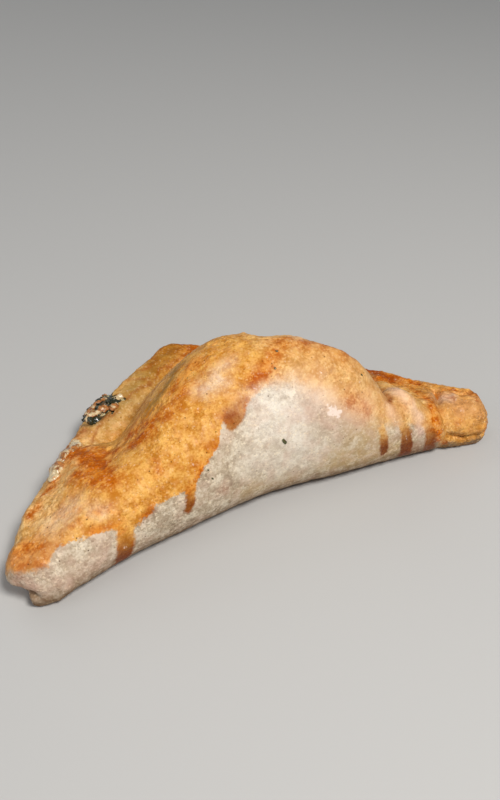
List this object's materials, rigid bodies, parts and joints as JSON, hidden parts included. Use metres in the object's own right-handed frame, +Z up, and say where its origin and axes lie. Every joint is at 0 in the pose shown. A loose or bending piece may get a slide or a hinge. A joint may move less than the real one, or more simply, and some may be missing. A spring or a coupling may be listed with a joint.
{
  "type": "spanakopita turnover",
  "caption": "Baked triangular pastry turnover, folded over a spinach and cheese filling, with pressed seams and a burst where the filling shows.",
  "frame": {"origin": "on the surface that the turnover rests on, under the middle of its box", "axes": "+X along the fold towards the end with the pinched fold, +Y from the fold towards the blunt corner where the seams meet, +Z up"},
  "size_m": [0.175, 0.0934, 0.0493],
  "materials": {
    "baked_dough": "matte",
    "spinach_and_cheese": "glossy"
  },
  "bodies": {
    "root": {"crust": "baked_dough", "filling": "spinach_and_cheese"}
  },
  "joints": []
}
